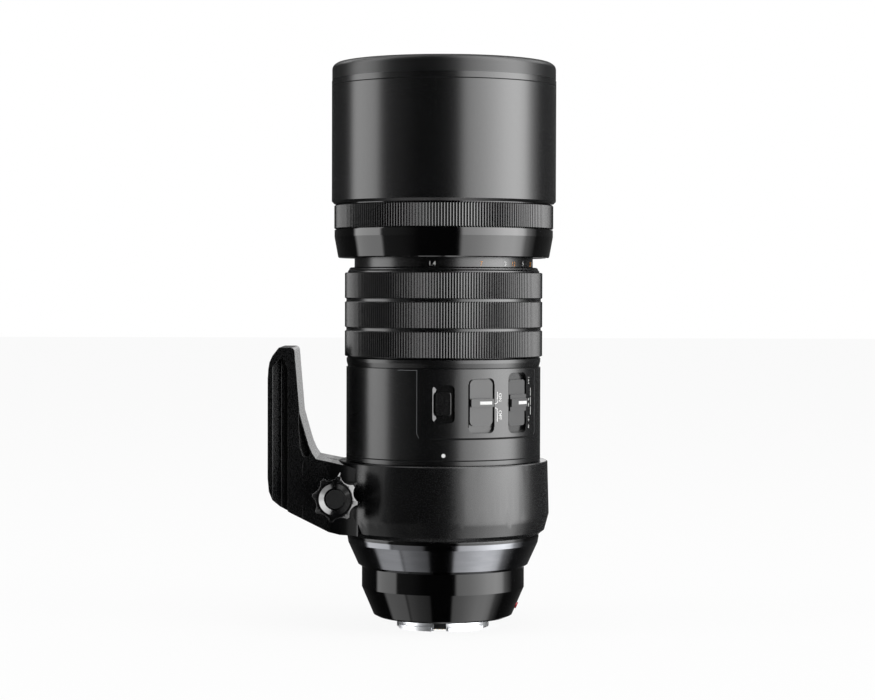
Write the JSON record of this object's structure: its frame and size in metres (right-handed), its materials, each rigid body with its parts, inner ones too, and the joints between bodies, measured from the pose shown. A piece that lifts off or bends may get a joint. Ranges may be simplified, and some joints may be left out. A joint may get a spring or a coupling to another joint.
{
  "type": "super telephoto lens",
  "caption": "Super telephoto lens with slide-out hood, clutch focus ring, switch panel and rotating tripod collar with dovetail foot.",
  "frame": {"origin": "on the optical axis in the plane of the mount flange", "axes": "+Z along the optical axis to the subject, the tripod foot points along -X, the switch panel faces -Y and +X"},
  "size_m": [0.1175, 0.0924, 0.2315],
  "materials": {
    "anodised_black": "satin black anodised",
    "gloss_black": "gloss black",
    "ribbed_black": "satin black, fine vertical ribs",
    "collar_black": "fine textured black paint",
    "bright_grey": "polished grey anodised",
    "soft_black": "soft black",
    "flock_black": "matt black flock",
    "switch_black": "matt moulded",
    "knob_black": "satin black with worn bright edges",
    "cell_black": "matt black",
    "blade_black": "blackened spring steel",
    "glass": "coated glass",
    "steel": "plain",
    "bayonet_chrome": "bright machined",
    "brass": "bright",
    "circuit_green": "lacquered",
    "mark_paint": "white and red paint"
  },
  "bodies": {
    "root": {"main_barrel": "anodised_black", "switch_panel": "anodised_black", "circuit_boards": "circuit_green", "grip_stop_ring": "anodised_black", "front_barrel": "anodised_black", "front_retaining_ring": "cell_black", "front_element": "glass", "second_element": "glass", "front_doublet": "glass", "inner_chassis": "anodised_black", "iris_base": "cell_black", "guide_rods": "steel", "focus_motor": "steel", "is_base": "cell_black", "rear_cell": "cell_black", "rear_elements": "glass", "rear_ring": "bright_grey", "rear_barrel": "gloss_black", "mount_plate": "bayonet_chrome", "mount_screws": "steel", "mount_seal": "soft_black", "contact_block": "switch_black", "contact_pins": "brass", "rear_baffle": "switch_black", "index_dots": "mark_paint", "collar_glide": "flock_black"},
    "hood": {"hood_shell": "anodised_black", "hood_front_ring": "soft_black", "hood_lining": "flock_black", "hood_base_ring": "gloss_black"},
    "hood_lock": {"hood_lock_ring": "ribbed_black"},
    "focus_scale": {"scale_ring": "anodised_black"},
    "focus_ring": {"focus_grip": "ribbed_black", "clutch_sleeve": "anodised_black"},
    "fn_key": {"fn_button": "switch_black"},
    "is_slider": {"is_switch": "switch_black"},
    "limiter_slider": {"limiter_switch": "switch_black"},
    "collar": {"tripod_collar": "collar_black", "collar_foot": "collar_black", "foot_screws": "steel", "thread_bush": "brass"},
    "knob": {"clamp_knob": "knob_black", "knob_cap": "switch_black", "clamp_screw": "steel"},
    "focus_group": {"focus_cell": "cell_black", "focus_element": "glass"},
    "focus_screw": {"lead_screw": "steel"},
    "is_pitch": {"is_pitch_frame": "cell_black"},
    "is_yaw": {"is_yaw_frame": "cell_black", "is_elements": "glass"},
    "iris_cam": {"iris_ring": "cell_black"},
    "blade_1": {"iris_blade_1": "blade_black"},
    "blade_2": {"iris_blade_2": "blade_black"},
    "blade_3": {"iris_blade_3": "blade_black"},
    "blade_4": {"iris_blade_4": "blade_black"},
    "blade_5": {"iris_blade_5": "blade_black"},
    "blade_6": {"iris_blade_6": "blade_black"},
    "blade_7": {"iris_blade_7": "blade_black"},
    "blade_8": {"iris_blade_8": "blade_black"},
    "blade_9": {"iris_blade_9": "blade_black"}
  },
  "joints": [
    {"name": "hood_slide", "type": "slide", "parent": "root", "child": "hood", "axis": [0, 0, 1], "range_m": [0, 0.053]},
    {"name": "hood_lock_turn", "type": "hinge", "parent": "hood", "child": "hood_lock", "pos_m": [0, 0, 0.165], "axis": [0, 0, 1], "range_deg": [0, 30]},
    {"name": "focus_turn", "type": "hinge", "parent": "root", "child": "focus_scale", "pos_m": [0, 0, 0.128], "axis": [0, 0, 1], "range_deg": [0, 97]},
    {"name": "focus_clutch", "type": "slide", "parent": "focus_scale", "child": "focus_ring", "axis": [0, 0, 1], "range_m": [0, 0.0038]},
    {"name": "fn_press", "type": "slide", "parent": "root", "child": "fn_key", "axis": [0, 1, 0], "range_m": [0, 0.0005], "stiffness_N_per_m": 400, "springref_m": -0.001},
    {"name": "is_switch_slide", "type": "slide", "parent": "root", "child": "is_slider", "axis": [0, 0, 1], "range_m": [-0.0023, 0]},
    {"name": "limiter_slide", "type": "slide", "parent": "root", "child": "limiter_slider", "axis": [0, 0, 1], "range_m": [-0.0023, 0.0023]},
    {"name": "collar_turn", "type": "hinge", "parent": "root", "child": "collar", "pos_m": [0, 0, 0.05], "axis": [0, 0, 1], "continuous": true},
    {"name": "knob_turn", "type": "hinge", "parent": "collar", "child": "knob", "pos_m": [-0.0431, -0.034, 0.0514], "axis": [0, 1, 0], "range_deg": [0, 540]},
    {"name": "focus_group_slide", "type": "slide", "parent": "root", "child": "focus_group", "axis": [0, 0, 1], "range_m": [-0.012, 0]},
    {"name": "lead_screw_turn", "type": "hinge", "parent": "root", "child": "focus_screw", "pos_m": [0.02876, 0, 0.095], "axis": [0, 0, 1], "range_deg": [0, 1440]},
    {"name": "is_pitch_slide", "type": "slide", "parent": "root", "child": "is_pitch", "axis": [0, 1, 0], "range_m": [-0.0012, 0.0012], "stiffness_N_per_m": 300},
    {"name": "is_yaw_slide", "type": "slide", "parent": "is_pitch", "child": "is_yaw", "axis": [1, 0, 0], "range_m": [-0.0012, 0.0012], "stiffness_N_per_m": 300},
    {"name": "iris_turn", "type": "hinge", "parent": "root", "child": "iris_cam", "pos_m": [0, 0, 0.131], "axis": [0, 0, 1], "range_deg": [0, 30]},
    {"name": "blade_1_turn", "type": "hinge", "parent": "root", "child": "blade_1", "pos_m": [0.026, 0, 0.129], "axis": [0, 0, 1], "range_deg": [0, 29]},
    {"name": "blade_2_turn", "type": "hinge", "parent": "root", "child": "blade_2", "pos_m": [0.01992, 0.01671, 0.129], "axis": [0, 0, 1], "range_deg": [0, 29]},
    {"name": "blade_3_turn", "type": "hinge", "parent": "root", "child": "blade_3", "pos_m": [0.00451, 0.0256, 0.129], "axis": [0, 0, 1], "range_deg": [0, 29]},
    {"name": "blade_4_turn", "type": "hinge", "parent": "root", "child": "blade_4", "pos_m": [-0.013, 0.02252, 0.129], "axis": [0, 0, 1], "range_deg": [0, 29]},
    {"name": "blade_5_turn", "type": "hinge", "parent": "root", "child": "blade_5", "pos_m": [-0.02443, 0.00889, 0.129], "axis": [0, 0, 1], "range_deg": [0, 29]},
    {"name": "blade_6_turn", "type": "hinge", "parent": "root", "child": "blade_6", "pos_m": [-0.02443, -0.00889, 0.129], "axis": [0, 0, 1], "range_deg": [0, 29]},
    {"name": "blade_7_turn", "type": "hinge", "parent": "root", "child": "blade_7", "pos_m": [-0.013, -0.02252, 0.129], "axis": [0, 0, 1], "range_deg": [0, 29]},
    {"name": "blade_8_turn", "type": "hinge", "parent": "root", "child": "blade_8", "pos_m": [0.00451, -0.0256, 0.129], "axis": [0, 0, 1], "range_deg": [0, 29]},
    {"name": "blade_9_turn", "type": "hinge", "parent": "root", "child": "blade_9", "pos_m": [0.01992, -0.01671, 0.129], "axis": [0, 0, 1], "range_deg": [0, 29]}
  ],
  "couplings": [
    {"joint": "focus_group_slide", "follows": "focus_turn", "m_per_rad": -0.007088},
    {"joint": "lead_screw_turn", "follows": "focus_turn", "ratio": 14.845},
    {"joint": "blade_1_turn", "follows": "iris_turn", "ratio": 0.96},
    {"joint": "blade_2_turn", "follows": "iris_turn", "ratio": 0.96},
    {"joint": "blade_3_turn", "follows": "iris_turn", "ratio": 0.96},
    {"joint": "blade_4_turn", "follows": "iris_turn", "ratio": 0.96},
    {"joint": "blade_5_turn", "follows": "iris_turn", "ratio": 0.96},
    {"joint": "blade_6_turn", "follows": "iris_turn", "ratio": 0.96},
    {"joint": "blade_7_turn", "follows": "iris_turn", "ratio": 0.96},
    {"joint": "blade_8_turn", "follows": "iris_turn", "ratio": 0.96},
    {"joint": "blade_9_turn", "follows": "iris_turn", "ratio": 0.96}
  ]
}
